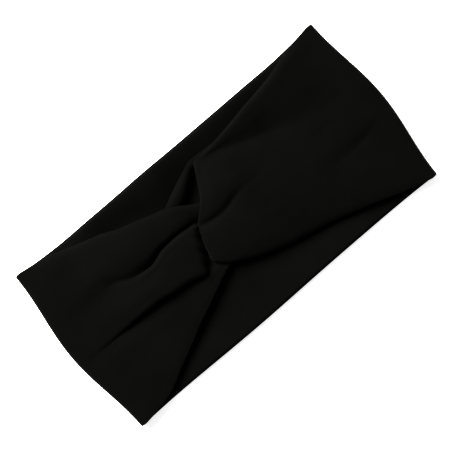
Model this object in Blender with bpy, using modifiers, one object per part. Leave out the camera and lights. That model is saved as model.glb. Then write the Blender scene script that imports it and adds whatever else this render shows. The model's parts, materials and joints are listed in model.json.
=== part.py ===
"""A knotted headband, lying flat and folded, as it comes off the pile.

Two strips of doubled jersey each make a loop, and the two loops hook through one another to form
the knot at the front. Each loop has an outer strand and an inner strand. The strands fan out to
the band's full width, turn back under at the side folds, and the four ends meet at one seam in
the middle of the back.

Frame: x runs along the band, y across it, z up from the face that rests on the table. The origin
is on that face, in the middle of the back seam. Cloth can't be rigid, so each strand is cut into
sections where it hinges when the loop opens: at the knot, at the side fold and beside the seam.
"""

import math

import bmesh
import bpy
from mathutils import Vector

MM = 0.001

# Driving dimensions
CORNER_X = 114.6 * MM  # from the seam to the ends of a side fold
FOLD_BULGE = 5.4 * MM  # how much further out the middle of a side fold reaches
END_HALF_WIDTH = 57.8 * MM  # half of the band's width at the side folds
WAIST = 1.7 * MM  # how much narrower each half is at the seam
CLOTH = 1.5 * MM  # thickness of one strand, which is two plies of jersey
LAYER_GAP = 0.3 * MM  # between the outer strand and the inner one
MID_GAP = 1.6 * MM  # between the front half and the back half
HINGE_X = 30.0 * MM  # where the panels hinge beside the knot and beside the back seam
CUT = 0.2 * MM  # each section stops this far short of its hinge line
FOLD_CUT = 0.45 * MM  # and this far above or below the line where the side fold hinges
INNER_MARGIN = 1.0 * MM  # the inner strand is this much narrower on each side

# Levels of the four layers, from the table up. Front and back mirror about MID_Z.
BACK_OUTER_Z = CLOTH / 2
BACK_INNER_Z = BACK_OUTER_Z + CLOTH + LAYER_GAP
MID_Z = BACK_INNER_Z + CLOTH / 2 + MID_GAP / 2
FRONT_INNER_Z = 2 * MID_Z - BACK_INNER_Z
FRONT_OUTER_Z = 2 * MID_Z - BACK_OUTER_Z

# Joint axes, all parallel to y. Those beside the seam and the knot lie just inside the loop, off
# the cloth that bends round them, and those of the side folds lie just beyond the cloth.
INNER_AXIS_GAP = 0.1 * MM
OUTER_AXIS_GAP = 0.3 * MM
BACK_AXIS_Z = BACK_INNER_Z + CLOTH / 2 + INNER_AXIS_GAP
KNOT_AXIS_Z = 2 * MID_Z - BACK_AXIS_Z
FOLD_AXIS_X = CORNER_X + FOLD_BULGE + OUTER_AXIS_GAP

# Plan of a front panel beside the knot: where each edge starts, and how fast it spreads
LOW_EDGE_START = (-9.0 * MM, -20.0 * MM)
LOW_EDGE_SPREAD = 0.321
RIGHT_HIGH_EDGE = (15.0 * MM, 43.0 * MM, 0.156)
LEFT_HIGH_EDGE = (10.0 * MM, 18.5 * MM, 0.425)
RIGHT_INNER_EDGE = (30.0 * MM, 5.0 * MM, 0.80)
LEFT_INNER_EDGE = (30.0 * MM, 0.0 * MM, 0.76)
LIFT_END_X = 100.0 * MM  # beyond this the front panel lies flat
RIGHT_LIFT = (0.0, 0.0, 6.0 * MM)  # rise at the low edge, at the high edge and between them
LEFT_LIFT = (3.6 * MM, 0.2 * MM, 4.4 * MM)

# The knot's loops are thicker, because the cloth is gathered there
GATHERED = 2.4 * MM
# Each row is one cross line of the loop, in millimetres: x, y, z of its low edge, x, y, z of its
# high edge, and the rise between the two. The first row joins the outer strand, and the last
# joins the inner one. The loop runs in over the other loop, dives, turns and comes back under it.
RIGHT_LOOP = (
    (29.8, -32.5, 7.45, 29.8, 45.3, 7.45, 6.0),
    (14.0, -27.4, 8.5, 14.0, 42.8, 9.5, 5.0),
    (1.0, -24.0, 10.5, 3.0, 30.0, 13.0, 3.0),
    (-9.0, -20.0, 11.0, -6.0, 10.0, 12.5, 1.0),
    (-17.0, -12.0, 9.6, -15.0, 2.0, 9.6, 0.0),
    (-25.0, -6.0, 9.2, -20.0, 5.0, 9.2, 0.0),
    (-29.0, 11.0, 9.2, -20.0, 11.0, 9.2, 0.0),
    (-24.0, 28.0, 8.4, -18.0, 20.0, 8.6, 0.0),
    (-8.0, 36.0, 6.8, -8.0, 24.0, 6.8, 0.0),
    (8.0, 41.0, 6.0, 8.0, 20.0, 6.0, 0.0),
    (29.8, 43.5, 5.65, 29.8, 5.0, 5.65, 0.0),
)
LEFT_LOOP = (
    (29.8, -32.5, 11.05, 29.8, 26.9, 7.65, 4.4),
    (20.0, -30.0, 11.8, 22.0, 10.0, 12.8, 1.6),
    (12.0, -26.0, 11.9, 15.0, -8.0, 12.8, 0.4),
    (3.0, -21.0, 9.9, 8.0, -12.5, 10.2, 0.0),
    (-6.0, -20.0, 9.5, -4.0, -10.0, 9.5, 0.0),
    (-16.0, -14.0, 9.3, -9.0, -6.0, 9.3, 0.0),
    (-18.5, 0.0, 8.6, -10.0, 0.0, 8.6, 0.0),
    (-14.0, 13.0, 7.4, -8.0, 6.0, 7.4, 0.0),
    (-2.0, 17.0, 6.2, -2.0, 7.0, 6.2, 0.0),
    (12.0, 20.0, 5.8, 12.0, 6.0, 5.8, 0.0),
    (29.8, 25.0, 5.65, 29.8, 0.0, 5.65, 0.0),
)

# Seam thread
SEAM_HALF_GAP = 0.75 * MM  # from the seam's middle line to the end of a strand
THREAD_RADIUS = 0.2 * MM
STITCH_PITCH = 3.0 * MM
STITCH_SWING = 0.22 * MM
SEAM_END_MARGIN = 3.0 * MM

# Mesh fineness
PANEL_STEPS = 8
ARC_STEPS = 6
ACROSS_STEPS = 8
FLAT_STEPS = 2
LOOP_STEPS = 40
LOOP_ACROSS_STEPS = 8

JERSEY_BLACK = (0.012, 0.012, 0.011, 1.0)
THREAD_BLACK = (0.02, 0.02, 0.02, 1.0)


def clear_scene():
    for obj in list(bpy.data.objects):
        bpy.data.objects.remove(obj)


def make_material(name, colour, roughness):
    material = bpy.data.materials.new(name)
    material.use_nodes = True
    shader = material.node_tree.nodes["Principled BSDF"]
    shader.inputs["Base Color"].default_value = colour
    shader.inputs["Roughness"].default_value = roughness
    shader.inputs["Metallic"].default_value = 0.0
    return material


def make_body(name, collection, x, z):
    """An empty on the axis that the body turns about. Its pieces are parented to it."""
    empty = bpy.data.objects.new(name, None)
    empty.location = (x, 0.0, z)
    collection.objects.link(empty)
    return empty


def add_piece(name, data, body, material, collection):
    piece = bpy.data.objects.new(name, data)
    piece.parent = body
    data.materials.append(material)
    collection.objects.link(piece)
    return piece


def cloth_sheet(name, point, steps, across, thickness, body, material, collection):
    """A flat grid carried onto the surface point(s, t), then thickened evenly to both sides."""
    mesh = bpy.data.meshes.new(name)
    grid = bmesh.new()
    bmesh.ops.create_grid(grid, x_segments=steps, y_segments=across, size=0.5)
    for vertex in grid.verts:
        s = vertex.co.x + 0.5
        t = vertex.co.y + 0.5
        vertex.co = point(s, t) - body.location
    grid.to_mesh(mesh)
    grid.free()
    piece = add_piece(name, mesh, body, material, collection)
    thicken = piece.modifiers.new("cloth", "SOLIDIFY")
    thicken.thickness = thickness
    thicken.offset = 0.0
    mesh.shade_smooth()
    return piece


def mix(a, b, share):
    return a + (b - a) * share


def half_width(x):
    """Half of the band's width, which eases in a little towards the back seam."""
    return END_HALF_WIDTH - WAIST * (1.0 - min(1.0, abs(x) / CORNER_X) ** 2)


def fold_x(y):
    """How far out the side fold reaches at y: it bulges in the middle and eases to its corners."""
    return CORNER_X + FOLD_BULGE * 0.5 * (1.0 + math.cos(math.pi * y / END_HALF_WIDTH))


def turned(point, side):
    """A point of the right half, or the same point turned half round z for the left half."""
    return Vector((side * point.x, side * point.y, point.z))


def low_edge(x):
    start_x, start_y = LOW_EDGE_START
    return max(-half_width(x), start_y - LOW_EDGE_SPREAD * (x - start_x))


def high_edge(x, edge):
    start_x, start_y, spread = edge
    return min(half_width(x), start_y + spread * (x - start_x))


def inner_low_edge(x, edge):
    start_x, start_y, spread = edge
    return max(INNER_MARGIN - half_width(x), start_y - spread * (x - start_x))


def around_fold(share, y, level, start_x, end_y):
    """A point on the way from start_x out to the side fold and a quarter of the way round it.

    level is the height of the strand's middle; y runs to end_y as the strand reaches the fold.
    """
    radius = abs(level - MID_Z)
    outward = 1.0 if level > MID_Z else -1.0
    straight = PANEL_STEPS / (PANEL_STEPS + ARC_STEPS)
    outer_radius = FRONT_OUTER_Z - MID_Z
    turn_x = fold_x(end_y) - CLOTH / 2 - outer_radius
    if share <= straight:
        return Vector((mix(start_x, turn_x, share / straight), y, level))
    stop = math.asin(FOLD_CUT / radius)
    angle = mix(math.pi / 2, stop, (share - straight) / (1.0 - straight))
    x = turn_x + radius * math.cos(angle)
    return Vector((x, y, MID_Z + outward * radius * math.sin(angle)))


def back_panel(name, side, level, margin, body, material, collection):
    def point(s, t):
        end_y = mix(-1.0, 1.0, t) * (END_HALF_WIDTH - margin)
        spot = around_fold(s, end_y, level, HINGE_X + CUT, end_y)
        spot.y = mix(-1.0, 1.0, t) * (half_width(spot.x) - margin)
        return turned(spot, side)

    steps = PANEL_STEPS + ARC_STEPS
    cloth_sheet(name, point, steps, ACROSS_STEPS, CLOTH, body, material, collection)


def front_panel(name, side, level, edges, lift, margin, body, material, collection):
    """edges gives the low and the high edge at x; lift gives the rise at each edge and between."""
    low_lift, high_lift, arch = lift

    def point(s, t):
        end_y = mix(-1.0, 1.0, t) * (END_HALF_WIDTH - margin)
        spot = around_fold(s, end_y, level, HINGE_X + CUT, end_y)
        low, high = edges(spot.x)
        spot.y = mix(low, high, t)
        nearness = max(0.0, (LIFT_END_X - spot.x) / (LIFT_END_X - HINGE_X))
        rise = mix(low_lift, high_lift, t) + arch * math.sin(math.pi * t) ** 0.7
        if spot.z > MID_Z:
            spot.z += rise * nearness**2
        return turned(spot, side)

    steps = PANEL_STEPS + ARC_STEPS
    cloth_sheet(name, point, steps, ACROSS_STEPS, CLOTH, body, material, collection)


def seam_end(name, side, level, margin, body, material, collection):
    """The short stretch of a strand between the back seam and the hinge beside it."""

    def point(s, t):
        x = mix(SEAM_HALF_GAP, HINGE_X - CUT, s)
        y = mix(-1.0, 1.0, t) * (half_width(x) - margin)
        return turned(Vector((x, y, level)), side)

    cloth_sheet(name, point, FLAT_STEPS, FLAT_STEPS, CLOTH, body, material, collection)


def through(values, share):
    """A Catmull-Rom curve through values, at share of the way along it."""
    last = len(values) - 1
    place = share * last
    index = min(int(place), last - 1)
    u = place - index
    before = values[max(index - 1, 0)]
    start = values[index]
    end = values[index + 1]
    after = values[min(index + 2, last)]
    slope_in = (end - before) / 2
    slope_out = (after - start) / 2
    return (
        start * (2 * u**3 - 3 * u**2 + 1)
        + slope_in * (u**3 - 2 * u**2 + u)
        + end * (3 * u**2 - 2 * u**3)
        + slope_out * (u**3 - u**2)
    )


def knot_loop(name, side, rows, body, material, collection):
    """One of the two hooked loops: a band lofted through its cross lines."""
    lows = [Vector(row[0:3]) * MM for row in rows]
    highs = [Vector(row[3:6]) * MM for row in rows]
    rises = [row[6] * MM for row in rows]

    def point(s, t):
        spot = mix(through(lows, s), through(highs, s), t)
        spot.z += through(rises, s) * math.sin(math.pi * t) ** 0.7
        return turned(spot, side)

    cloth_sheet(
        name, point, LOOP_STEPS, LOOP_ACROSS_STEPS, GATHERED, body, material, collection
    )


def seam_thread(name, level, body, material, collection):
    """The thread that joins the two ends of one layer, weaving from side to side of the seam."""
    reach = half_width(0.0) - SEAM_END_MARGIN
    stitches = int(2 * reach / STITCH_PITCH)
    curve = bpy.data.curves.new(name, "CURVE")
    curve.dimensions = "3D"
    curve.bevel_depth = THREAD_RADIUS
    curve.bevel_resolution = 0
    curve.use_fill_caps = True
    line = curve.splines.new("POLY")
    line.points.add(stitches)
    for number, knot in enumerate(line.points):
        x = STITCH_SWING * (-1) ** number
        y = mix(-reach, reach, number / stitches)
        knot.co = (*(Vector((x, y, level)) - body.location), 1.0)
    add_piece(name, curve, body, material, collection)


def build():
    clear_scene()
    headband = bpy.data.collections.new("knotted_headband")
    bpy.context.scene.collection.children.link(headband)
    jersey = make_material("jersey", JERSEY_BLACK, 0.95)
    thread = make_material("thread", THREAD_BLACK, 0.6)

    centre = make_body("back_centre", headband, 0.0, 0.0)
    sides = (
        ("right", 1, RIGHT_HIGH_EDGE, RIGHT_INNER_EDGE, RIGHT_LIFT, RIGHT_LOOP),
        ("left", -1, LEFT_HIGH_EDGE, LEFT_INNER_EDGE, LEFT_LIFT, LEFT_LOOP),
    )
    for word, side, high, inner, lift, loop in sides:

        def outer_edges(x, high=high):
            return low_edge(x), high_edge(x, high)

        def inner_edges(x, high=high, inner=inner):
            return inner_low_edge(x, inner), high_edge(x, high) - INNER_MARGIN

        back = make_body(f"back_{word}", headband, side * HINGE_X, BACK_AXIS_Z)
        front = make_body(f"front_{word}", headband, side * FOLD_AXIS_X, MID_Z)
        knot = make_body(f"knot_{word}", headband, side * HINGE_X, KNOT_AXIS_Z)
        knot_loop(f"{word}_loop_bend", side, loop, knot, jersey, headband)
        front_panel(
            f"{word}_outer_front", side, FRONT_OUTER_Z, outer_edges, lift, 0.0,
            front, jersey, headband,
        )
        front_panel(
            f"{word}_inner_front", side, FRONT_INNER_Z, inner_edges, (0.0, 0.0, 0.0), INNER_MARGIN,
            front, jersey, headband,
        )
        layers = (("outer", BACK_OUTER_Z, 0.0), ("inner", BACK_INNER_Z, INNER_MARGIN))
        for layer, level, margin in layers:
            back_panel(f"{word}_{layer}_back", side, level, margin, back, jersey, headband)
            seam_end(f"{word}_{layer}_end", side, level, margin, centre, jersey, headband)

    seam_thread("outer_seam_thread", BACK_OUTER_Z, centre, thread, headband)
    seam_thread("inner_seam_thread", BACK_INNER_Z, centre, thread, headband)


build()
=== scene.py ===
"""The looks of the knotted headband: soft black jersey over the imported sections.

The band lies folded flat on the table. +X runs along it to the side fold of the right loop,
which lies on top in the knot, +Y runs across it and +Z up through the knot. Lengths on the
band are in millimetres, and MM turns them into metres. The stage is laid out in metres."""

import json
import math

import bmesh
import bpy
import numpy as np
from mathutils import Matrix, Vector, noise


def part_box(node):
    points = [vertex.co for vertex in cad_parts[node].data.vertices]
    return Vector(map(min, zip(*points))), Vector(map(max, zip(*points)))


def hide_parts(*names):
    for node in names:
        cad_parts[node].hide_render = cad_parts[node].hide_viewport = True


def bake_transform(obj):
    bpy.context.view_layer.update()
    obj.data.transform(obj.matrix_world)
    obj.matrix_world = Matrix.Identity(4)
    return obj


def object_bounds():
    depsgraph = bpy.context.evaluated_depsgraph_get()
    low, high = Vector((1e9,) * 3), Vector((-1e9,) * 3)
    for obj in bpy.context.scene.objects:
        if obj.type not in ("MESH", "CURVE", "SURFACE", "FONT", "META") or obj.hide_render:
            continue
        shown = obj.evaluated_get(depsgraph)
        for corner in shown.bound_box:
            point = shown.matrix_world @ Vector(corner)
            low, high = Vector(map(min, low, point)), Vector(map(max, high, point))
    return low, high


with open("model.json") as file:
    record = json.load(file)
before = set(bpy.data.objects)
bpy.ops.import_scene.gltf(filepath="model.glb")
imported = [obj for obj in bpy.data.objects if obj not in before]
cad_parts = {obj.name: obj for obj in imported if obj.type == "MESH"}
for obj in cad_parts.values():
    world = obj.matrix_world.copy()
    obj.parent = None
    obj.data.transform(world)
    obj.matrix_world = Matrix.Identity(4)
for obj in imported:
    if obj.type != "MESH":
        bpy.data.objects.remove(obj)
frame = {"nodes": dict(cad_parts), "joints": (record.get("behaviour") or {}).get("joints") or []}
cad_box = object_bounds()

MM = 0.001
PER_MM = 1000.0

# Places that the frame gives, in millimetres
joints = {joint["name"]: joint for joint in frame["joints"]}
FOLD_REACH = cad_box[1].x * PER_MM  # the middle of a side fold
HALF_WIDTH = cad_box[1].y * PER_MM  # at the side folds
MID_Z = joints["right_fold_hinge"]["pos_m"][2] * PER_MM  # midway between back and front half
BACK_OUTER_LOW, BACK_OUTER_HIGH = (corner.z * PER_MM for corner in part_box("right_outer_end"))
BACK_INNER_LOW, BACK_INNER_HIGH = (corner.z * PER_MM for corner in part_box("right_inner_end"))

CLOTH = BACK_OUTER_HIGH - BACK_OUTER_LOW  # a strand is two plies thick
Z0 = 2 * MID_Z - (BACK_OUTER_LOW + BACK_OUTER_HIGH) / 2  # middle of the front's outer layer
Z1 = 2 * MID_Z - (BACK_INNER_LOW + BACK_INNER_HIGH) / 2  # middle of the front's inner layer
W = HALF_WIDTH - 0.1  # the strands' edges at the side folds

FOLD_BULGE = 5.4  # how much further out the middle of a side fold reaches
FOLD_SKEW = {1: 0.6, -1: -0.3}  # how much further out its high end reaches, by side
FOLD_STEPS = 13  # odd, so that no row of points lies on the middle of a side fold
FLARE_HIGH = 2.5  # how much wider the back half is at the corners than along its high side
FLARE_LOW = 1.0  # the same along its low side
EDGE_GAP = 0.1  # how far inside high_side() and low_side() the cloth's edges stay
INNER_INSET = 1.0  # how much further in the inner layer's edges lie
SPLIT_X = 84.0  # where the fold pieces meet the front and back pieces
HALF_CLOTH = CLOTH / 2 - 0.02  # a hair thinner than the CAD, to stay clear of it
EDGE_STEPS = 5  # faces round a rolled edge
TURN = FOLD_REACH - FOLD_BULGE - CLOTH / 2 - (Z0 - MID_Z)  # where the folds start

# ---------------------------------------------------------------- curves and sheets


def smoothstep(x):
    """Rises smoothly from 0 at 0 to 1 at 1."""
    x = np.clip(x, 0.0, 1.0)
    return x * x * (3 - 2 * x)


def monotone(knots, values, x):
    """A smooth curve through values at knots that doesn't overshoot. Knots rise."""
    knots, values = np.asarray(knots, float), np.asarray(values, float)
    x = np.clip(x, knots[0], knots[-1])
    step = np.diff(knots)
    slope = np.diff(values) / step
    tangent = np.zeros_like(values)
    tangent[0], tangent[-1] = slope[0], slope[-1]
    for i in range(1, len(knots) - 1):
        if slope[i - 1] * slope[i] > 0:
            w1, w2 = 2 * step[i] + step[i - 1], step[i] + 2 * step[i - 1]
            tangent[i] = (w1 + w2) / (w1 / slope[i - 1] + w2 / slope[i])
    i = np.clip(np.searchsorted(knots, x, side="right") - 1, 0, len(step) - 1)
    u = (x - knots[i]) / step[i]
    return (
        values[i] * (2 * u**3 - 3 * u**2 + 1)
        + step[i] * tangent[i] * (u**3 - 2 * u**2 + u)
        + values[i + 1] * (3 * u**2 - 2 * u**3)
        + step[i] * tangent[i + 1] * (u**3 - u**2)
    )


def guide_at(points, x):
    """The points of a guide line at the places x. A guide is a list of (x, y, z)."""
    points = np.array(sorted(points), float)
    y = monotone(points[:, 0], points[:, 1], x)
    z = monotone(points[:, 0], points[:, 2], x)
    return np.stack([x, y, z], axis=-1)


def across_guides(lines, counts):
    """A grid through guide lines: lines[j][i] is guide j at station i. counts[j] is how many
    steps there are between guides j and j + 1. It returns points[i][across]."""
    lines = np.asarray(lines, float)
    n = len(lines)
    chord = np.linalg.norm(np.diff(lines, axis=0), axis=2) ** 0.5 + 1e-6
    tangents = np.zeros_like(lines)
    for j in range(n):
        if j == 0:
            tangents[j] = (lines[1] - lines[0]) / chord[0][:, None]
        elif j == n - 1:
            tangents[j] = (lines[-1] - lines[-2]) / chord[-1][:, None]
        else:
            before, after = chord[j - 1][:, None], chord[j][:, None]
            into = (lines[j] - lines[j - 1]) / before
            out = (lines[j + 1] - lines[j]) / after
            tangents[j] = (into * after + out * before) / (before + after)
    columns = []
    for j in range(n - 1):
        length = chord[j][:, None]
        for k in range(counts[j]):
            u = k / counts[j]
            columns.append(
                lines[j] * (2 * u**3 - 3 * u**2 + 1)
                + tangents[j] * length * (u**3 - 2 * u**2 + u)
                + lines[j + 1] * (3 * u**2 - 2 * u**3)
                + tangents[j + 1] * length * (u**3 - u**2)
            )
    columns.append(lines[-1])
    return np.stack(columns, axis=1)


def unit(v):
    """Vectors of length 1 in the same directions."""
    return v / np.maximum(np.linalg.norm(v, axis=-1, keepdims=True), 1e-9)


def surface_normals(grid):
    """A direction of length 1 square to the cloth at each point of a grid."""
    along = np.gradient(grid, axis=0)
    across = np.gradient(grid, axis=1)
    return unit(np.cross(along, across))


def closed_sheet(name, grid, half, flip=False):
    """A closed flat tube of cloth round a middle surface, with rolled long edges.

    grid[i][j] are points in millimetres: i runs along the strand, j across it. UV is in
    millimetres along and across the cloth, so that the knit has its true size."""
    normal = surface_normals(grid)
    if flip:
        normal = -normal
    rows, across = grid.shape[:2]
    low_out = unit(grid[:, 0] - grid[:, 1])
    high_out = unit(grid[:, -1] - grid[:, -2])
    middle = grid.copy()
    middle[:, 0] -= low_out * half
    middle[:, -1] -= high_out * half
    angles = np.linspace(0, math.pi, EDGE_STEPS + 1)[1:-1]
    ring = [middle[:, j] + normal[:, j] * half for j in range(across)]
    for a in angles:
        ring.append(middle[:, -1] + half * (math.cos(a) * normal[:, -1] + math.sin(a) * high_out))
    ring += [middle[:, j] - normal[:, j] * half for j in range(across - 1, -1, -1)]
    for a in angles:
        ring.append(middle[:, 0] + half * (-math.cos(a) * normal[:, 0] + math.sin(a) * low_out))
    ring = np.stack(ring, axis=1)
    size = ring.shape[1]

    step = np.linalg.norm(np.diff(ring, axis=0), axis=2).mean(axis=1)
    travel = np.concatenate([[0.0], np.cumsum(step)])
    girth = np.linalg.norm(np.diff(np.concatenate([ring, ring[:, :1]], axis=1), axis=1), axis=2)
    girth = np.concatenate([[0.0], np.cumsum(girth.mean(axis=0))])

    vertices = (ring.reshape(-1, 3) * MM).tolist()
    faces, uvs = [], []
    for i in range(rows - 1):
        for j in range(size):
            k = (j + 1) % size
            faces.append((i * size + j, (i + 1) * size + j, (i + 1) * size + k, i * size + k))
            uvs.append(
                (
                    (travel[i], girth[j]),
                    (travel[i + 1], girth[j]),
                    (travel[i + 1], girth[j + 1]),
                    (travel[i], girth[j + 1]),
                )
            )
    sides = len(faces)
    bends = len(angles)
    for row in (0, rows - 1):
        base = row * size
        for j in range(across - 1):
            under = 2 * across + bends - 1 - j
            faces.append((base + j, base + j + 1, base + under - 1, base + under))
        faces.append(tuple(base + across - 1 + k for k in range(bends + 2)))
        faces.append(tuple(base + (2 * across + bends - 1 + k) % size for k in range(bends + 2)))

    mesh = bpy.data.meshes.new(name)
    mesh.from_pydata(vertices, [], faces)
    layer = mesh.uv_layers.new(name="weave")
    for number, polygon in enumerate(mesh.polygons):
        for corner, loop in enumerate(polygon.loop_indices):
            if number < sides:
                layer.data[loop].uv = (uvs[number][corner][0], uvs[number][corner][1])
    grid_mesh = bmesh.new()
    grid_mesh.from_mesh(mesh)
    bmesh.ops.recalc_face_normals(grid_mesh, faces=grid_mesh.faces)
    grid_mesh.to_mesh(mesh)
    grid_mesh.free()
    mesh.shade_smooth()
    mesh.set_sharp_from_angle(angle=math.radians(70))
    piece = bpy.data.objects.new(name, mesh)
    bpy.context.scene.collection.objects.link(piece)
    return piece


def bulge(y, side):
    """How much further out a side fold reaches at y than at its corners."""
    share = np.clip(y / HALF_WIDTH, -1, 1)
    return FOLD_BULGE * 0.5 * (1 + np.cos(math.pi * share)) + FOLD_SKEW[side] * share


def high_side(x):
    """Where the back band's high edge runs at x."""
    return HALF_WIDTH - FLARE_HIGH * (1 - np.clip(np.abs(x) / TURN, 0, 1) ** 6)


def low_side(x):
    """Where the back band's low edge runs at x. It sags outwards beside the knot."""
    most, most_x, reach = 0.9, -25, 45  # how far it sags at most, where, and how far that spreads
    sag = most * np.exp(-(((x - most_x) / reach) ** 2))
    return -(HALF_WIDTH - FLARE_LOW * (1 - np.clip(np.abs(x) / TURN, 0, 1) ** 6) + sag)


def ripple(grid, size, strength, seed):
    """Moves points up and down by long soft ripples that run along the strand. strength has
    a value for each point."""
    stretch = 4.0  # how much longer than wide they are
    out = grid.copy()
    for i in range(grid.shape[0]):
        for j in range(grid.shape[1]):
            x, y, z = grid[i, j]
            lift = noise.noise(Vector((x / (size * stretch), y / size, seed)))
            fine = noise.noise(Vector((x / (size * 1.2), y / (size * 0.45), seed + 7.0)))
            out[i, j, 2] += strength[i, j] * (lift + 0.35 * fine)
    return out


# ---------------------------------------------------------------- the strands, from guide lines

# Each guide runs from the side fold to the knot. It follows one feature of the cloth. The
# guides of a strand go from one of its edges to the other, and the counts say how many
# steps of cloth lie between neighbours.
RIGHT_OUTER = (
    # low edge
    ((TURN, -W, Z0), (96, -53.8, 7.1), (74, -46.2, 6.9), (47, -38.0, 6.0), (22, -32.2, 6.2),
     (6, -26.8, 7.4), (-10.6, -18.2, 9.8)),
    # lip above it
    ((TURN, -53, Z0), (96, -51, 8.0), (74, -43.8, 8.2), (47, -35.6, 7.8), (22, -30, 8.2),
     (5, -24.6, 9.4), (-12.6, -16.4, 11.0)),
    # low hump
    ((TURN, -40, Z0), (96, -38, 8.4), (74, -33, 9.6), (47, -26, 10.2), (22, -21, 11.1),
     (4, -16.5, 12.0), (-15.6, -13, 11.8)),
    # low side of the crease near the fold
    ((TURN, -14, Z0), (94, -17.6, 8.1), (74, -19, 10.0), (47, -15, 11.9), (22, -11, 13.1),
     (4, -9, 12.7), (-17.2, -10, 12.0)),
    # the crease near the fold
    ((TURN, -9.4, Z0 - 0.1), (107, -10.6, 7.7), (94, -13.6, 7.8), (84, -14.6, 8.7),
     (66, -14.4, 10.8), (47, -11, 12.3), (22, -7, 13.5), (4, -6, 12.9), (-16.2, -5.6, 12.2)),
    # middle
    ((TURN, -5, Z0), (94, -8.6, 8.9), (74, -8, 10.6), (47, -6, 12.7), (22, -3, 13.9),
     (4, -1, 13.0), (-14.8, -0.6, 12.2)),
    # low side of the centre crease
    ((TURN, 4, Z0), (94, 1, 8.7), (74, 1, 10.5), (47, 3, 12.9), (24, 6.8, 14.6),
     (14, 6, 13.6), (8, 5, 12.6), (2, 3.8, 12.3), (-5, 4, 12.0), (-12.6, 5.2, 11.4)),
    # centre crease, deepest at the knot
    ((TURN, 7, Z0), (94, 3.5, 8.6), (74, 4, 10.4), (47, 6, 13.0), (26, 11, 14.7),
     (15, 9.6, 13.2), (9, 8.2, 12.0), (2, 7.2, 11.4), (-4, 7.6, 10.6), (-10.8, 9.4, 9.4)),
    # high side of the centre crease
    ((TURN, 9.5, Z0), (94, 6, 8.5), (74, 7, 10.3), (47, 9, 13.0), (26, 14, 15.0),
     (14, 13.4, 14.9), (8, 12, 14.3), (2, 11.2, 13.6), (-4, 11.4, 12.6), (-8, 12.6, 11.4)),
    # high hump
    ((TURN, 13, Z0), (94, 9, 8.4), (74, 8, 10.3), (54, 12, 12.0), (39.4, 16, 13.7), (24, 20, 15.4),
     (10, 20.5, 15.8), (-0.4, 20, 14.0)),
    # slope below the ridge
    ((TURN, 17, Z0), (94, 13, 8.2), (74, 12.6, 10.0), (54, 18.6, 11.3), (39.4, 24.4, 12.9),
     (24.6, 30, 14.6), (12, 31, 14.8), (6, 30.4, 13.8)),
    # ridge
    ((TURN, 22, Z0), (94, 17, 8.1), (74, 18, 9.3), (54, 24.4, 9.8), (39.4, 29, 11.4),
     (24.6, 34.8, 13.0), (16, 37.4, 13.4), (11.2, 39.3, 13.2)),
    # the valley beside it
    ((TURN, 27, Z0), (94, 23, 8.4), (74, 22, 9.3), (54, 26.8, 9.7), (39.4, 31, 11.2),
     (24.6, 36.6, 12.9), (16, 38.4, 13.4), (11.4, 39.5, 13.1)),
    # steep part of the slope up to the high edge
    ((TURN, 33, Z0), (94, 31, 9.1), (74, 31, 10.9), (54, 32.6, 11.6), (39.4, 34.8, 12.6),
     (24.6, 38, 13.3), (16, 39, 13.5), (11.5, 39.7, 13.0)),
    # gentle part of the slope
    ((TURN, 43, Z0), (94, 43, 10.0), (74, 40, 12.6), (54, 38.6, 14.0), (39.4, 38.6, 14.3),
     (24.6, 39, 13.9), (16, 39.4, 13.5), (11.6, 39.9, 12.9)),
    # crest of the high edge
    ((TURN, W - 3, Z0), (94, 51.6, 10.4), (74, 47.6, 13.7), (54, 44.6, 15.0), (39.4, 42.2, 14.9),
     (24.6, 40.4, 14.0), (16, 40, 13.4), (11.7, 40.1, 12.8)),
    # high edge
    ((TURN, W, Z0), (94, 54.9, 9.2), (74, 49.4, 12.2), (54, 46.2, 13.6), (39.4, 43.7, 13.6),
     (24.6, 41.4, 13.1), (16, 40.6, 12.9), (11.8, 40.3, 12.6)),
)
RIGHT_OUTER_COUNTS = (5, 10, 12, 5, 5, 7, 5, 5, 7, 8, 6, 5, 5, 8, 6, 4)

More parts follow.
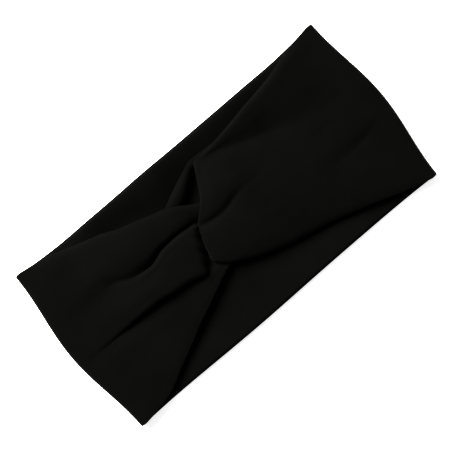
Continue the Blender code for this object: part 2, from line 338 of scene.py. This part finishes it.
LEFT_OUTER = (
    # high edge
    ((-TURN, W, Z0), (-94.6, 54.9, 8.2), (-74, 48.3, 11.0), (-59, 43.6, 12.2), (-49.3, 39.4, 12.4),
     (-36.5, 35.4, 12.2), (-27.6, 32.5, 12.0), (-19.7, 30.2, 11.6), (-9.9, 23.9, 10.8),
     (-3, 19.4, 9.8), (6, 15, 8.4)),
    # crest beside it
    ((-TURN, W - 3, Z0), (-94.6, 52.2, 9.2), (-74, 45.8, 12.6), (-59, 41.2, 13.8),
     (-49.3, 37, 13.8), (-36.5, 33, 13.7), (-27.6, 30, 13.6), (-19.7, 27.8, 13.2),
     (-9.9, 21.6, 11.8), (-3, 17, 10.2), (6, 12.4, 8.4)),
    # hump on the high side
    ((-TURN, 38, Z0), (-94.6, 37, 9.8), (-74, 34, 13.6), (-59, 30, 15.0), (-49.3, 27.6, 14.9),
     (-36.5, 25.6, 14.4), (-27.6, 24, 14.2), (-19.7, 22.8, 13.4), (-12, 19, 11.8),
     (-5, 14.8, 10.2), (6, 9.4, 8.4)),
    # its fall towards the first crease
    ((-TURN, 28, Z0), (-94.6, 26, 9.7), (-74, 25, 13.4), (-59, 22.6, 14.3), (-49.3, 20.4, 14.2),
     (-36.5, 20.4, 14.2), (-27.6, 20, 13.9), (-19.7, 19.2, 13.1), (-12, 17.2, 11.2),
     (-6, 13.2, 9.4), (6, 7, 8.0)),
    # high lip of the first crease
    ((-TURN, 22, Z0), (-94.6, 21.6, 9.2), (-74, 20.8, 12.2), (-59, 16.4, 12.8), (-49.3, 15.4, 12.6),
     (-36.5, 16.6, 13.0), (-27.6, 16.6, 12.7), (-19.7, 16, 11.8), (-12, 15.2, 9.8),
     (-7, 12.4, 8.6), (6, 5.2, 7.8)),
    # first crease
    ((-TURN, 18, Z0), (-94.6, 17.8, 8.5), (-74, 17.4, 11.0), (-59, 11.6, 10.0), (-49.3, 10.4, 8.0),
     (-36.5, 14, 7.4), (-27.6, 14.4, 7.2), (-19.7, 13.8, 7.2), (-12, 12.8, 7.2),
     (-8, 11, 7.2), (6, 3.8, 7.2)),
    # low lip of the first crease
    ((-TURN, 15, Z0), (-94.6, 14.4, 8.3), (-74, 13.6, 11.2), (-59, 9.2, 12.9), (-49.3, 9.0, 14.5),
     (-36.5, 11.8, 14.7), (-27.6, 12.4, 14.2), (-16.6, 11.2, 13.6), (-14.6, 11, 11),
     (-13.4, 10.6, 7.6), (6, 2.6, 7.2)),
    # middle hump, upper part
    ((-TURN, 11, Z0), (-94.6, 10.4, 8.3), (-74, 9.6, 11.7), (-59, 7, 13.3), (-49.3, 6.4, 14.7),
     (-36.5, 9, 15.1), (-27.6, 9.6, 14.7), (-17.4, 8.4, 14.2), (-15.7, 8.2, 12), (-14.8, 8, 7.6),
     (6, 0.4, 7.2)),
    # middle hump, crest
    ((-TURN, 4, Z0), (-94.6, 3, 8.6), (-74, 2.2, 12.4), (-59, 0.8, 14.2), (-49.3, 1.4, 15.2),
     (-36.5, 2, 15.3), (-27.6, 2, 14.9), (-20, 1.4, 14.2), (-18.4, 1, 12.2), (-17.4, 0.6, 7.6),
     (6, -3, 7.2)),
    # middle hump, lower part
    ((-TURN, -2, Z0), (-94.6, -2.8, 8.6), (-74, -3, 12.3), (-59, -3.6, 14.0),
     (-49.3, -4.6, 14.9), (-36.5, -5.6, 15.0), (-29.5, -6.6, 14.2), (-24, -6.8, 13.2),
     (-22, -6.4, 11.2), (-20.8, -6, 7.6), (6, -6, 7.2)),
    # its lip over the second crease
    ((-TURN, -5.4, Z0), (-94.6, -6.8, 8.3), (-74, -6.8, 11.7), (-59, -7.2, 13.2),
     (-49.3, -8.8, 13.8), (-36.5, -10.2, 13.8), (-30.6, -12.4, 13), (-26.6, -13.2, 11.8),
     (-25.2, -12, 10), (-24.2, -10.6, 7.6), (6, -8.6, 7.2)),
    # second crease, tucked under the lip
    ((-TURN, -8, Z0 - 0.1), (-94.6, -8, 7.5), (-74, -6.4, 7.7), (-59, -6.6, 7.8),
     (-49.3, -8, 7.8), (-36.5, -9.8, 7.8), (-30.6, -12.2, 7.8), (-26.4, -13, 7.7),
     (-22.6, -12.4, 7.6), (6, -10.6, 7.2)),
    # floor of the second crease
    ((-TURN, -11.4, Z0 - 0.15), (-94.6, -11, 7.6), (-74, -12, 8.1), (-59, -12.8, 8.3),
     (-49.3, -13.6, 8.4), (-36.5, -14.4, 8.8), (-29, -14.8, 8.9), (-22, -14, 8.3), (6, -12.4, 7.3)),
    # low part of the strand, upper
    ((-TURN, -15, Z0), (-94.6, -14.8, 7.9), (-74, -16.4, 8.3), (-59, -18.4, 8.4),
     (-49.3, -19.2, 8.5), (-36.5, -18.4, 9.1), (-28, -16.8, 9.4), (-20, -15.8, 8.8), (-12, -15, 8),
     (6, -14.4, 7.3)),
    # low part, middle
    ((-TURN, -30, Z0), (-94.6, -25, 7.5), (-74, -24.6, 7.9), (-59, -24.6, 8.1), (-49.3, -23.6, 8.4),
     (-36.5, -21.8, 9.0), (-27.6, -19.8, 9.1), (-16, -17.4, 8.4), (-9, -17, 7.8), (6, -17, 7.3)),
    # low part, shoulder
    ((-TURN, -52, Z0), (-97, -51.4, 7.4), (-88.7, -48.4, 7.4), (-74, -41.6, 7.8), (-59, -34.8, 8.0),
     (-49.3, -30.4, 8.4), (-36.5, -25.6, 8.8), (-27, -22.4, 8.9), (-14, -18.2, 8.4),
     (-8, -18.2, 7.8), (6, -19.5, 7.3)),
    # low edge
    ((-TURN, -W, Z0), (-100, -56.2, 7.1), (-88.7, -53.4, 7.0), (-74, -46.2, 7.0), (-59, -39.2, 7.4),
     (-49.3, -34.3, 7.9), (-36.5, -28.9, 8.2), (-27.6, -24.7, 8.4), (-19.7, -21.2, 8.3),
     (-11.8, -18.6, 8.1), (-6, -19.6, 7.7), (6, -21.5, 7.3)),
)
LEFT_OUTER_COUNTS = (4, 7, 8, 5, 4, 4, 5, 7, 5, 4, 4, 5, 5, 9, 8, 4)

RIGHT_INNER = (
    # low edge
    ((TURN, -W + 1, Z1), (75, -32, 5.6), (30, 4, 5.2), (8, 10, 4.9), (-6, 11, 4.8),
     (-14, 12.5, 4.8)),
    # middle
    ((TURN, 0, Z1), (75, 8, 5.6), (30, 22, 5.3), (8, 22, 4.6), (-6, 17, 4.5), (-18, 17, 4.8)),
    # bottom of the hole
    ((TURN, 22, Z1), (75, 24, 5.6), (30, 31, 5.4), (8, 31, 4.4), (-3, 25, 4.2),
     (-12, 21.6, 4.4), (-21, 19.6, 5)),
    # foot of the strip's face
    ((TURN, 30, Z1), (75, 30, 5.7), (30, 35, 5.8), (8, 36, 5.4), (-3, 30.6, 5.6),
     (-10, 26.4, 5.6), (-22, 22, 6.6)),
    # the face
    ((TURN, 36, Z1), (75, 35, 5.8), (30, 37.6, 6.6), (8, 38.6, 8.6), (-3, 33, 11.0),
     (-10, 28.6, 11.2), (-24, 24, 10.2)),
    # the strip's crest
    ((TURN, 44, Z1), (75, 42, 5.9), (30, 40, 7.4), (8, 40.4, 9.8), (-3, 36, 12.2),
     (-10, 32.6, 12.6), (-25.6, 26.6, 11.4)),
    # its rim
    ((TURN, W - 1, Z1), (75, 47.5, 6), (30, 42, 7.2), (8.6, 42.8, 9.4), (0, 40, 10.8),
     (-12.3, 34.8, 11.4), (-22.7, 29.9, 11), (-27, 28, 10.6)),
)
RIGHT_INNER_COUNTS = (20, 8, 6, 7, 7, 4)

LEFT_INNER = (
    # high edge
    ((-TURN, W - 1, Z1), (-75, 40, 5.5), (-30, 10, 5.4), (-8, -2, 5.3), (10, -6, 5.4)),
    # two lines along its middle
    ((-TURN, 20, Z1), (-75, 8, 5.5), (-30, -2, 5.4), (-8, -7, 5.3), (11, -9, 5.4)),
    ((-TURN, -20, Z1), (-75, -14, 5.5), (-30, -12, 5.4), (-8, -12, 5.3), (12, -12, 5.4)),
    # low edge
    ((-TURN, -W + 1, Z1), (-75, -39, 5.5), (-30, -23, 5.4), (-8, -17.6, 5.4), (12, -15.6, 5.4)),
)
LEFT_INNER_COUNTS = (20, 20, 20)


STEP = 1.3  # between rows of points on the front half
BACK_STEP = 2.0  # between rows of points on the back half
KNOT_ROWS = 50  # rows of points in the knot
ROLL_ROWS = 8  # rows of points round the rolled end of a strand
BACK_COLUMNS = 80  # points across the back half
NEAR_SEAM, SEAM_ROWS = 6.0, 15  # the rows this near the back seam stand closer
KNOT_RIPPLE = 0.16  # how strongly the cloth ripples at the knot


def stations(guide, side, knot_from):
    """Places along x for a guide, from the fold pieces to the guide's end in the knot."""
    ends = [point[0] for point in guide]
    last = min(ends) if side > 0 else max(ends)
    plain_rows = int(abs(SPLIT_X - knot_from) / STEP)
    plain = np.linspace(side * SPLIT_X, side * knot_from, plain_rows + 1)
    knot = np.linspace(side * knot_from, last, KNOT_ROWS + 1)[1:]
    return np.concatenate([plain, knot])


def front_grid(guides, counts, side, knot_from, roll):
    """The strand in front, from the split to the knot. roll is None, or the radius of its
    rolled end and how far it reaches back under itself."""
    lines = []
    for guide in guides:
        line = guide_at(guide, stations(guide, side, knot_from))
        if roll:
            line = np.concatenate([line, rolled_end(line, *roll)])
        lines.append(line)
    return across_guides(lines, counts)


def rolled_end(line, radius, reach):
    """More points at the end of a line: the cloth rolls down and under by half a turn."""
    away = line[-1] - line[-6]  # the way the line runs over its last few points
    away[2] = 0.0
    away /= np.linalg.norm(away)
    end = line[-1].copy()
    points = []
    for angle in np.linspace(0, math.pi, ROLL_ROWS + 1)[1:]:
        turn = away * math.sin(angle) * radius
        drop = np.array([0, 0, -radius * (1 - math.cos(angle))])
        points.append(end + turn + drop)
    for share in (0.5, 1.0):
        points.append(points[ROLL_ROWS - 1] - away * reach * share)
    return np.array(points)


def fold_grid(guides, counts, side, layer_z):
    """The strand from the split in front, round the side fold, to the split at the back. It
    bulges out at the fold, and not at the splits, where it meets its neighbours."""
    radius = layer_z - MID_Z
    flat = np.linspace(SPLIT_X, TURN, int((TURN - SPLIT_X) / STEP) + 1)
    ramp = smoothstep((flat - SPLIT_X - 2) / (TURN - SPLIT_X - 2))
    front = across_guides([guide_at(guide, side * flat) for guide in guides], counts)
    front[..., 0] += side * bulge(front[..., 1], side) * ramp[:, None]
    rows = [front]
    ending = front[-1]
    for angle in np.linspace(math.pi / 2, -math.pi / 2, FOLD_STEPS + 1)[1:]:
        row = ending.copy()
        row[:, 0] += side * radius * math.cos(angle)
        row[:, 2] = MID_Z + radius * math.sin(angle)
        rows.append(row[None])
    back = np.repeat(ending[None], len(flat), axis=0)
    flat_back = flat[::-1]
    share = (ending[None, :, 1] / W + 1) / 2
    low = low_side(side * flat_back)[:, None] + EDGE_GAP
    high = high_side(side * flat_back)[:, None] - EDGE_GAP
    out = bulge(ending[None, :, 1], side) * ramp[::-1, None]
    back[..., 0] = side * (flat_back[:, None] + out)
    back[..., 1] = low + (high - low) * share
    back[..., 2] = 2 * MID_Z - layer_z
    rows.append(back[1:])
    return np.concatenate(rows)


def cupping(x, y):
    """How far the back half lifts off the table: its edges curl up away from the side folds.
    The high edge curls up most beside the knot."""
    knot_x, knot_reach = -18, 16  # where it curls up most, and how far along x that spreads
    high_end, low_start = 55, -38  # where the high side's curl is full, and the low side's starts
    inside_folds = smoothstep((SPLIT_X - np.abs(x)) / 26)
    beside_knot = np.exp(-(((x - knot_x) / knot_reach) ** 2))
    high_start = 36 - 12 * beside_knot
    high = (5.4 + 4.6 * beside_knot) * smoothstep((y - high_start) / (high_end - high_start))
    high -= 1.0 * smoothstep((y - 53.5) / 3)  # the rim rolls over a little
    low = 1.0 * smoothstep((low_start - y) / (HALF_WIDTH + low_start))
    return inside_folds * (high + low)


def back_grid(side, layer_z, inset):
    """The strand in the back half, from the split to the back seam. Its rows stand closer
    near the seam. The seam pulls the outer layer up a little."""
    plain = np.linspace(SPLIT_X, NEAR_SEAM, int(SPLIT_X / BACK_STEP))
    x = np.concatenate([plain, np.linspace(NEAR_SEAM, 0.0, SEAM_ROWS + 1)[1:]])
    t = np.linspace(0, 1, BACK_COLUMNS)[None, :]
    low = low_side(side * x)[:, None] + EDGE_GAP + inset
    high = high_side(side * x)[:, None] - EDGE_GAP - inset
    y = low + (high - low) * t
    z = 2 * MID_Z - layer_z + cupping(side * x[:, None], y)
    if layer_z == Z0:
        pull, reach = 0.35, 2.2
        z += pull * np.exp(-((x / reach) ** 2))[:, None]
    return np.stack([side * np.repeat(x[:, None], BACK_COLUMNS, axis=1), y, z], axis=-1)


# ---------------------------------------------------------------- materials


def jersey_material():
    """Matte black fine-knit jersey with a faint fuzz. UV is in millimetres of cloth."""
    material = bpy.data.materials.new("black_jersey")
    material.use_nodes = True
    nodes, links = material.node_tree.nodes, material.node_tree.links
    shader = nodes["Principled BSDF"]
    place = nodes.new("ShaderNodeTexCoord")
    split = nodes.new("ShaderNodeSeparateXYZ")
    links.new(place.outputs["UV"], split.inputs["Vector"])

    def math_node(operation, a, b=None):
        """The output of a math node fed with numbers or other outputs."""
        node = nodes.new("ShaderNodeMath")
        node.operation = operation
        for index, value in enumerate((a, b)):
            if value is None:
                continue
            if isinstance(value, (int, float)):
                node.inputs[index].default_value = value
            else:
                links.new(value, node.inputs[index])
        return node.outputs[0]

    # Each column of the knit is a stack of V shapes.
    stitch_width, stitch_height = 0.62, 0.5
    column = math_node("MULTIPLY", split.outputs["X"], 1 / stitch_width)
    row = math_node("MULTIPLY", split.outputs["Y"], 1 / stitch_height)
    off_centre = math_node("ABSOLUTE", math_node("SUBTRACT", math_node("FRACT", column), 0.5))
    chevron = math_node("ADD", row, math_node("MULTIPLY", off_centre, 1.4))
    stitch = math_node("SINE", math_node("MULTIPLY", chevron, 2 * math.pi))
    rib = math_node("COSINE", math_node("MULTIPLY", column, 2 * math.pi))
    knit = math_node("ADD", math_node("MULTIPLY", stitch, 0.5), math_node("MULTIPLY", rib, 0.5))

    fuzz = nodes.new("ShaderNodeTexNoise")
    fuzz.inputs["Scale"].default_value = 2600.0
    fuzz.inputs["Detail"].default_value = 3.0
    links.new(place.outputs["Object"], fuzz.inputs["Vector"])
    wear = nodes.new("ShaderNodeTexNoise")
    wear.inputs["Scale"].default_value = 55.0
    wear.inputs["Detail"].default_value = 4.0
    links.new(place.outputs["Object"], wear.inputs["Vector"])

    tone = nodes.new("ShaderNodeValToRGB")
    tone.color_ramp.elements[0].position = 0.3
    tone.color_ramp.elements[0].color = (0.0056, 0.0056, 0.0052, 1)
    tone.color_ramp.elements[1].position = 0.75
    tone.color_ramp.elements[1].color = (0.0096, 0.0096, 0.0088, 1)
    mixed = math_node("ADD", math_node("MULTIPLY", fuzz.outputs["Fac"], 0.5),
                      math_node("MULTIPLY", wear.outputs["Fac"], 0.5))
    links.new(mixed, tone.inputs["Fac"])
    links.new(tone.outputs["Color"], shader.inputs["Base Color"])

    bump = nodes.new("ShaderNodeBump")
    bump.inputs["Strength"].default_value = 0.5
    bump.inputs["Distance"].default_value = 0.00012
    links.new(math_node("ADD", knit, math_node("MULTIPLY", fuzz.outputs["Fac"], 2.0)),
              bump.inputs["Height"])
    links.new(bump.outputs["Normal"], shader.inputs["Normal"])

    roughness = math_node("ADD", math_node("MULTIPLY", wear.outputs["Fac"], 0.12), 0.86)
    links.new(roughness, shader.inputs["Roughness"])
    shader.inputs["Specular IOR Level"].default_value = 0.05
    shader.inputs["Sheen Weight"].default_value = 0.08
    shader.inputs["Sheen Roughness"].default_value = 0.3
    shader.inputs["Sheen Tint"].default_value = (0.9, 0.9, 0.85, 1)
    return material


def thread_material():
    """Twisted polyester thread, a little glossier than the jersey."""
    material = bpy.data.materials.new("black_thread")
    material.use_nodes = True
    nodes, links = material.node_tree.nodes, material.node_tree.links
    shader = nodes["Principled BSDF"]
    shader.inputs["Base Color"].default_value = (0.008, 0.008, 0.008, 1)
    shader.inputs["Roughness"].default_value = 0.55
    ply = nodes.new("ShaderNodeTexWave")
    ply.bands_direction = "DIAGONAL"
    ply.inputs["Scale"].default_value = 900.0
    place = nodes.new("ShaderNodeTexCoord")
    links.new(place.outputs["Object"], ply.inputs["Vector"])
    bump = nodes.new("ShaderNodeBump")
    bump.inputs["Strength"].default_value = 0.6
    bump.inputs["Distance"].default_value = 0.0001
    links.new(ply.outputs["Fac"], bump.inputs["Height"])
    links.new(bump.outputs["Normal"], shader.inputs["Normal"])
    return material


jersey = jersey_material()
thread = thread_material()


def dress(piece):
    """Gives a piece of cloth its material."""
    piece.data.materials.clear()
    piece.data.materials.append(jersey)


# ---------------------------------------------------------------- the pieces


def ripple_strength(grid):
    """Ripples are strongest at the knot and fade towards the side folds."""
    full_to = 15  # how far from the middle they stay at full strength
    return KNOT_RIPPLE * (1 - smoothstep((np.abs(grid[..., 0]) - full_to) / (SPLIT_X - full_to)))


def front_piece(word, layer, grid, flip):
    """The strand in front, from the split to the knot; the CAD parts it stands for are hidden."""
    piece = closed_sheet(f"{word}_{layer}_front_cloth", grid, HALF_CLOTH, flip)
    dress(piece)
    if layer == "outer":
        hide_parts(f"{word}_outer_front", f"{word}_loop_bend")
    else:
        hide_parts(f"{word}_inner_front")
    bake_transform(piece)


def fold_piece(word, layer, grid, flip):
    """The strand from the split in front, round the side fold, to the split at the back."""
    piece = closed_sheet(f"{word}_{layer}_fold_cloth", grid, HALF_CLOTH, flip)
    dress(piece)
    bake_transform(piece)


def back_piece(word, layer, grid, flip):
    """The strand in the back half, from the split to the back seam; the CAD parts it stands for are
    hidden.
    """
    piece = closed_sheet(f"{word}_{layer}_back_cloth", grid, HALF_CLOTH, flip)
    dress(piece)
    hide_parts(f"{word}_{layer}_back", f"{word}_{layer}_end")
    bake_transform(piece)


def build_side(word, side, outer, outer_counts, inner, inner_counts, knot_from, roll):
    """A loop: its outer and inner layer, each in a front, a fold and a back piece."""
    for layer, guides, counts, layer_z, inset in (
        ("outer", outer, outer_counts, Z0, 0.0),
        ("inner", inner, inner_counts, Z1, INNER_INSET),
    ):
        flip = side > 0
        front = front_grid(guides, counts, side, knot_from, roll if layer == "outer" else None)
        front = ripple(front, 7.0, ripple_strength(front), seed=3.0 * side + inset)
        front_piece(word, layer, front, flip)
        fold_piece(word, layer, fold_grid(guides, counts, side, layer_z), flip)
        back_piece(word, layer, back_grid(side, layer_z, inset), flip)


build_side(
    "right", 1, RIGHT_OUTER, RIGHT_OUTER_COUNTS, RIGHT_INNER, RIGHT_INNER_COUNTS,
    knot_from=24.0, roll=(1.6, 5.0),
)
build_side(
    "left", -1, LEFT_OUTER, LEFT_OUTER_COUNTS, LEFT_INNER, LEFT_INNER_COUNTS,
    knot_from=34.0, roll=None,
)

for node in ("outer_seam_thread", "inner_seam_thread"):
    frame["nodes"][node].data.materials.clear()
    frame["nodes"][node].data.materials.append(thread)


# ---------------------------------------------------------------- stage, light and camera


def stage():
    """A plain pale floor that glows a little, a white studio and one large soft light."""
    bpy.ops.mesh.primitive_plane_add(size=6.0, location=(0, 0, -0.0002))
    floor = bpy.context.object
    floor.name = "floor"
    material = bpy.data.materials.new("floor")
    material.use_nodes = True
    shader = material.node_tree.nodes["Principled BSDF"]
    shader.inputs["Base Color"].default_value = (0.9, 0.9, 0.9, 1)
    shader.inputs["Roughness"].default_value = 0.9
    shader.inputs["Emission Color"].default_value = (1, 1, 1, 1)
    shader.inputs["Emission Strength"].default_value = 0.7
    floor.data.materials.append(material)

    world = bpy.data.worlds.new("studio")
    bpy.context.scene.world = world
    world.use_nodes = True
    nodes, links = world.node_tree.nodes, world.node_tree.links
    nodes["Background"].inputs["Color"].default_value = (1, 1, 1, 1)
    path = nodes.new("ShaderNodeLightPath")
    strength = nodes.new("ShaderNodeMapRange")  # soft light on the band, white behind it
    strength.inputs["To Min"].default_value = 0.36
    strength.inputs["To Max"].default_value = 1.0
    links.new(path.outputs["Is Camera Ray"], strength.inputs["Value"])
    links.new(strength.outputs["Result"], nodes["Background"].inputs["Strength"])

    light = bpy.data.lights.new("softbox", "AREA")
    light.shape = "DISK"
    light.size = 0.7
    light.energy = 61.0
    lamp = bpy.data.objects.new("softbox", light)
    lamp.location = (-0.2, 0.84, 0.78)
    lamp.rotation_mode = "QUATERNION"
    lamp.rotation_quaternion = (-Vector(lamp.location)).to_track_quat("-Z", "Y")
    bpy.context.scene.collection.objects.link(lamp)


def camera():
    """Looks straight down. The band lies diagonally in the picture, its +X end up and right."""
    turn = math.radians(-40.58)
    picture_width = 264.9 * MM
    knot_height = 5 * MM  # the picture is that wide at this height
    lens, sensor = 110.0, 36.0
    data = bpy.data.cameras.new("camera")
    data.lens = lens
    data.sensor_width = sensor
    cam = bpy.data.objects.new("camera", data)
    height = picture_width * lens / sensor + knot_height
    cam.location = (-0.45 * MM, 0.7 * MM, height)
    cam.rotation_euler = (0, 0, turn)
    bpy.context.scene.collection.objects.link(cam)
    bpy.context.scene.camera = cam


stage()
camera()
bpy.context.scene.view_settings.view_transform = "Standard"
bpy.context.scene.view_settings.gamma = 0.62
